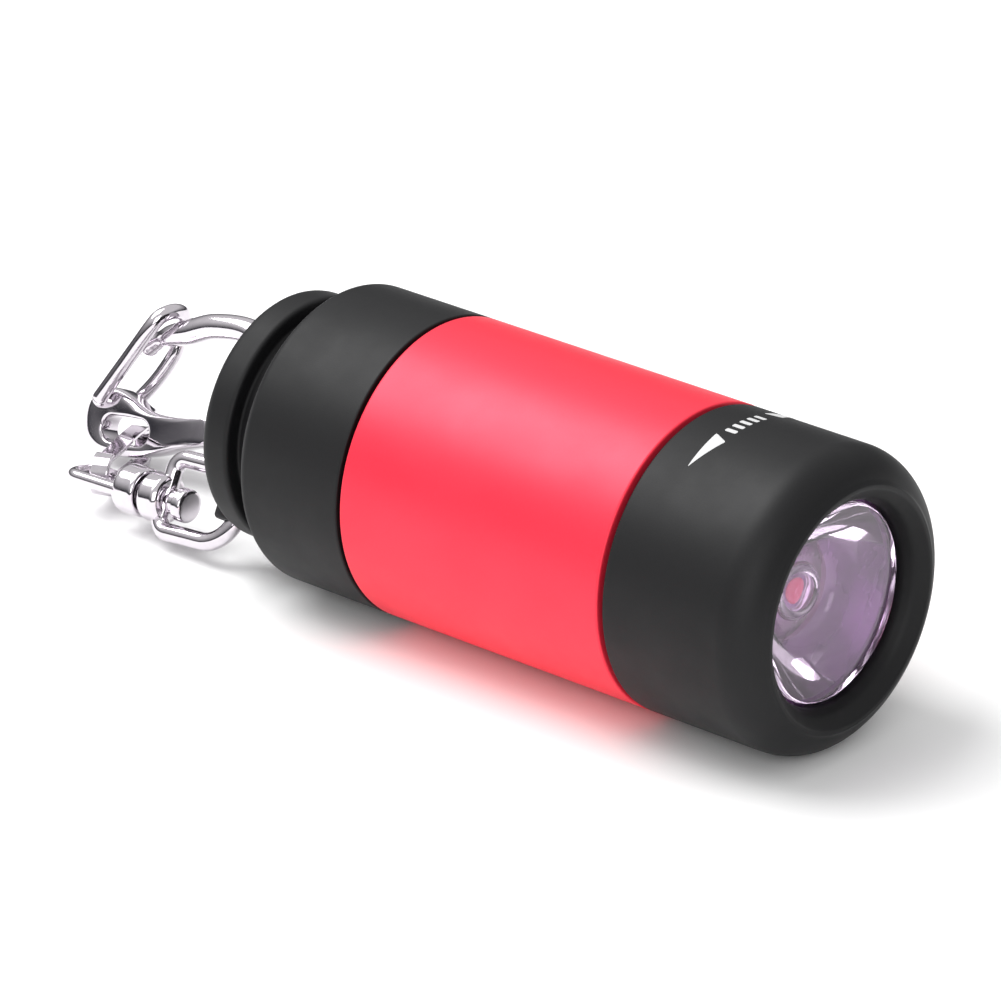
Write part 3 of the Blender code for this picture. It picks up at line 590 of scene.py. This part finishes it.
def wound_strip():
    """Rings of the strip. A turn goes along one side, round an end, back and round the other: the spine
    point and the outward angle are straight-line functions of the turn. The distance from the spine steps
    from the inner layer to the outer one over a quarter of a turn by a smooth step."""
    turns = np.linspace(STRIP_START, STRIP_END, 420)
    straight = LINK_LENGTH / (2 * LINK_LENGTH + 2 * np.pi * (LINK_GAP + STRIP))
    part = (turns + straight / 2) % 1
    stops = [0, straight, 0.5, 0.5 + straight, 1]
    spine = np.interp(part, stops, [0, LINK_LENGTH, LINK_LENGTH, 0, 0])
    angle = np.radians(np.interp(part, stops, [90, 90, -90, -90, -270]))
    step = np.clip((turns - STEP_START) / STEP_SPAN, 0, 1)
    layer = LINK_GAP + STRIP / 2 + STRIP_PITCH * step * step * (3 - 2 * step)
    thick, wide = STRIP / 2, LINK_WIDTH / 2
    section = eased([(-thick, -wide), (thick, -wide), (thick, wide), (-thick, wide)], 0.09, steps=4)
    reach, angle = layer[:, None] + section[:, 0], angle[:, None]
    along, up = spine[:, None] + reach * np.cos(angle), reach * np.sin(angle)
    return np.stack([along, section[:, 1] + 0 * reach, up], -1)


fit(skin("wound_link", placed(wound_strip(), LINK), nickel), "link", "nickel", "link")


# ---------------------------------------------------------------- snap hook
# One die casting, nickel plated: a flat body with a long slanting slot for the link, a band that runs round
# into a thick arm, and a nose with a neck that the gate closes on.

HOOK_LEAN = np.radians(20.6)
HOOK_HALF = 1.0
GATE_PIVOT = np.array([-3.6, 1.0, 3.7])
SLOT_MIDDLE, SLOT_HALF, SLOT_R, SLOT_TILT = (-1.15, 2.15), 1.25, 0.95, np.radians(8)
hook_axes = np.array([
    [1, 0, 0],
    [0, np.cos(HOOK_LEAN), -np.sin(HOOK_LEAN)],
    [0, np.sin(HOOK_LEAN), np.cos(HOOK_LEAN)],
])
HOOK = (pivot("gate_open") - GATE_PIVOT * MM @ hook_axes, hook_axes)


def through(points, per=10, loop=False):
    """A smooth curve through points: on each side the Catmull-Rom cubic, which passes each point in the
    direction from the one before it to the one after it."""
    points = np.array(points, float)
    if loop:
        four = [np.roll(points, shift, 0) for shift in (1, 0, -1, -2)]
    else:
        longer = np.vstack([2 * points[0] - points[1], points, 2 * points[-1] - points[-2]])
        four = [longer[:-3], longer[1:-2], longer[2:-1], longer[3:]]
    before, start, end, after = (corner[:, None] for corner in four)
    t = np.linspace(0, 1, per, endpoint=False)[None, :, None]
    curve = 2 * start + (end - before) * t + (2 * before - 5 * start + 4 * end - after) * t ** 2
    curve = 0.5 * (curve + (3 * start - before - 3 * end + after) * t ** 3).reshape(-1, points.shape[1])
    return curve if loop else np.vstack([curve, points[-1:]])


def slot_edge(outline):
    """For each point of the outline, the point of the long round-ended slot in the same direction: on a flat
    side the distance is the slot's radius over the sine, and on an end the ray meets the end's circle."""
    ray = outline - SLOT_MIDDLE
    angle = np.arctan2(ray[:, 1], ray[:, 0]) - SLOT_TILT
    cos, sin = np.cos(angle), np.sin(angle)
    on_side = SLOT_HALF * abs(sin) >= SLOT_R * abs(cos)
    end = SLOT_HALF * abs(cos) + np.sqrt(np.maximum(SLOT_R ** 2 - (SLOT_HALF * sin) ** 2, 0))
    reach = np.where(on_side, SLOT_R / np.maximum(abs(sin), TINY), end)
    return SLOT_MIDDLE + reach[:, None] * ray / np.linalg.norm(ray, axis=1, keepdims=True)


hook_outline = through(
    [
        (-5.3, 2.3), (-4.9, 1.0), (-3.9, 0.3), (-2.5, 0.1), (-1.2, 0.2), (1.5, 1.0), (4.1, 2.15), (6.4, 3.1),
        (6.6, 4.0), (6.2, 4.9), (5.2, 4.7), (3.1, 4.25), (1.1, 4.0), (-0.3, 4.15), (-1.6, 4.6), (-3.0, 4.8),
        (-4.3, 4.4), (-5.1, 3.5),
    ],
    loop=True,
)
plate = holed_plate(slot_edge(hook_outline), hook_outline, HOOK_HALF, 0.25, 0.6, steps=8)
plate_rings = np.stack([plate[..., 0], HOOK_HALF + plate[..., 2], plate[..., 1]], -1)
fit(skin("hook_body", placed(plate_rings, HOOK), nickel, loop=True), "clasp", "nickel", "hook")


def domed(path, radius):
    """A path and its radii with a half ball added at each end."""
    turn = np.radians(np.linspace(80, 0, 7))[:, None]
    radius = np.broadcast_to(radius, len(path)).astype(float)
    starts, ends = unit(path[0] - path[1]), unit(path[-1] - path[-2])
    head = path[0] + starts * radius[0] * np.sin(turn)
    tail = path[-1] + ends * radius[-1] * np.sin(turn[::-1])
    caps = np.cos(turn[:, 0])
    longer = np.vstack([head[:-1], path, tail[1:]])
    return longer, np.concatenate([radius[0] * caps[:-1], radius, radius[-1] * caps[::-1][1:]])


ARM_R = 0.93
# Each stop is (x, z, share of the arm's radius): full along the arm, then a neck, a bulb and the tip.
arm_stops = [
    (5.4, 3.75, 1.0), (8.3, 5.0, 1.0), (10.1, 7.4, 1.0), (9.9, 10.0, 1.0), (7.6, 11.5, 1.0),
    (4.2, 11.15, 1.0), (1.8, 10.1, 1.0), (0.3, 9.5, 0.85), (-0.55, 9.05, 0.65), (-1.1, 8.65, 0.75),
    (-1.6, 8.3, 0.9), (-2.1, 7.95, 0.55),
]
arm_x, arm_z, arm_share = through(arm_stops).T
arm_path, arm_radius = domed(np.stack([arm_x, HOOK_HALF + 0 * arm_x, arm_z], -1), ARM_R * arm_share)
arm_rings = placed(tube(arm_path, arm_radius, (0, 1, 0), around=32), HOOK)
fit(skin("hook_arm", arm_rings, nickel), "clasp", "nickel")


# ---------------------------------------------------------------- gate
# A hairpin of spring wire that straddles the nose. Its two ends turn in and spring in the body's pivot
# holes, so it swings in under the thumb and snaps back.

GATE_WIRE_R = 0.55
ACROSS_LEGS = (0.886, 0, -0.46)
gate_stops = [
    (-3.6, 0.3, 3.7), (-3.6, -0.3, 3.7), (-3.5, -0.6, 3.9), (-3.3, -0.65, 4.25), (-1.7, -0.65, 7.3),
    (-0.5, -0.65, 9.6), (-0.05, -0.4, 10.6), (0.2, 0.25, 11.1), (0.25, 1.0, 11.25), (0.15, 1.75, 11.1),
    (-0.1, 2.4, 10.6), (-0.35, 2.65, 9.7), (-0.4, 2.65, 8.5), (-0.6, 2.65, 7.7), (-1.5, 2.65, 5.9),
    (-2.7, 2.65, 4.2), (-3.3, 2.65, 3.85), (-3.6, 2.3, 3.7), (-3.6, 1.7, 3.7),
]
gate_path = through(gate_stops, 8)
gate_rings = placed(tube(gate_path, GATE_WIRE_R, ACROSS_LEGS), HOOK)
fit(skin("gate_hairpin", gate_rings, nickel), "gate", "nickel", "gate_wire")


# ---------------------------------------------------------------- floor, light and camera
# A plain white table under a soft white room, with one large soft light over the tail and a weaker one in
# front.

FLOOR_HALF = 4.0
floor_mesh = bpy.data.meshes.new("floor")
floor_corners = FLOOR_HALF * np.array([(-1, -1, 0), (1, -1, 0), (1, 1, 0), (-1, 1, 0)])
floor_mesh.from_pydata(floor_corners.tolist(), [], [(0, 1, 2, 3)])
white_table = finish("white_table", (0.97, 0.97, 0.97), (0.95, 0.95, 0.95), (0.7, 0.8), grain=40, depth=0)
floor_mesh.materials.append(white_table)
floor = bpy.data.objects.new("floor", floor_mesh)
bpy.context.scene.collection.objects.link(floor)


def room():
    """A room that is white overhead and dark at the horizon, which draws soft bands in the plating."""
    world = bpy.data.worlds.new("soft_room")
    bpy.context.scene.world = world
    world.use_nodes = True
    tree = world.node_tree
    place, parts = tree.nodes.new("ShaderNodeTexCoord"), tree.nodes.new("ShaderNodeSeparateXYZ")
    ramp = tree.nodes.new("ShaderNodeValToRGB")
    horizon, overhead = ramp.color_ramp.elements
    horizon.position, horizon.color = 0.08, (0.06, 0.06, 0.07, 1)
    overhead.position, overhead.color = 0.5, (1, 1, 1, 1)
    tree.links.new(place.outputs["Generated"], parts.inputs["Vector"])
    tree.links.new(parts.outputs["Z"], ramp.inputs["Fac"])
    tree.links.new(ramp.outputs["Color"], tree.nodes["Background"].inputs["Color"])
    tree.nodes["Background"].inputs["Strength"].default_value = 0.75


def soft_light(name, at, size, power):
    """A square area light aimed at the middle of the torch."""
    light = bpy.data.lights.new(name, "AREA")
    light.size, light.energy = size, power
    made = bpy.data.objects.new(name, light)
    made.location = at
    direction = -np.array(at)
    made.rotation_euler = (
        np.arccos(-direction[2] / np.linalg.norm(direction)),
        0,
        np.arctan2(direction[1], direction[0]) - np.pi / 2,
    )
    bpy.context.scene.collection.objects.link(made)


room()
soft_light("over_tail", (-0.25, -0.1, 0.45), 0.4, 3.0)
soft_light("front_fill", (0.35, -0.45, 0.25), 0.35, 1.2)

LENS_LENGTH, SENSOR = 247.9, 36
camera_data = bpy.data.cameras.new("camera")
camera_data.lens, camera_data.sensor_width = LENS_LENGTH, SENSOR
camera = bpy.data.objects.new("camera", camera_data)
camera.location = DATUM + np.array([0.2819, -0.3155, 0.1836])
camera.rotation_euler = (np.radians(66.26), 0, np.radians(41.26))
bpy.context.scene.collection.objects.link(camera)
bpy.context.scene.camera = camera
bpy.context.scene.view_settings.view_transform = "Standard"
